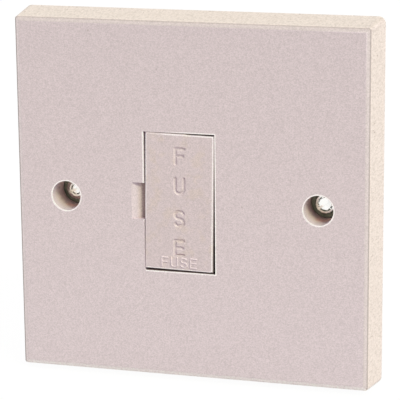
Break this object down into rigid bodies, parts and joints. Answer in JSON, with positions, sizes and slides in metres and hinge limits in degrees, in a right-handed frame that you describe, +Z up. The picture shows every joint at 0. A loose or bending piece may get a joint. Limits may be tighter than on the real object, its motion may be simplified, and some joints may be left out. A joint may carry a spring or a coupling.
{
  "type": "fused spur unit",
  "caption": "Square wall plate with sloped sides, a flush pull-out fuse carrier, a pry notch and screw wells, and screw terminals in a cover behind, for a fused mains spur.",
  "frame": {"origin": "middle of the plate's flat rim, on the wall plane, midway between the two fixing screws", "axes": "+X to the right seen from the front, +Y into the wall, +Z up; the front face looks along -Y"},
  "size_m": [0.086, 0.0326, 0.086],
  "materials": {
    "plate_plastic": "satin moulded thermoset, finely mottled",
    "carrier_plastic": "satin moulded thermoset, finely mottled",
    "housing_plastic": "matt moulded plastic",
    "fuse_ceramic": "unglazed white ceramic",
    "fuse_wire": "drawn silvered wire",
    "plated_cap": "bright nickel plate",
    "contact_bronze": "rolled spring bronze",
    "link_brass": "rolled brass strip",
    "nickel_screw": "bright nickel plate",
    "eyelet_brass": "darkened brass",
    "terminal_brass": "machined brass",
    "terminal_screw": "machined brass",
    "cover_screw": "zinc plated steel"
  },
  "bodies": {
    "unit": {"front_plate": "plate_plastic", "rear_housing": "housing_plastic", "supply_fuse_contact": "contact_bronze", "load_fuse_contact": "contact_bronze", "neutral_link": "link_brass", "earth_strap": "link_brass", "fixing_screw_left": "nickel_screw", "fixing_screw_right": "nickel_screw", "fixing_eyelet_left": "eyelet_brass", "fixing_eyelet_right": "eyelet_brass", "earth_supply_terminal": "terminal_brass", "earth_supply_screw": "terminal_screw", "line_supply_terminal": "terminal_brass", "line_supply_screw": "terminal_screw", "neutral_supply_terminal": "terminal_brass", "neutral_supply_screw": "terminal_screw", "earth_load_terminal": "terminal_brass", "earth_load_screw": "terminal_screw", "line_load_terminal": "terminal_brass", "line_load_screw": "terminal_screw", "neutral_load_terminal": "terminal_brass", "neutral_load_screw": "terminal_screw", "cover_screw_upper_left": "cover_screw", "cover_screw_upper_right": "cover_screw", "cover_screw_lower_left": "cover_screw", "cover_screw_lower_right": "cover_screw"},
    "carrier": {"fuse_carrier": "carrier_plastic", "fuse_tube": "fuse_ceramic", "fuse_element": "fuse_wire", "supply_fuse_cap": "plated_cap", "load_fuse_cap": "plated_cap"}
  },
  "joints": [
    {"name": "carrier_slide", "type": "slide", "parent": "unit", "child": "carrier", "axis": [0, -1, 0], "range_m": [0, 0.018]}
  ]
}
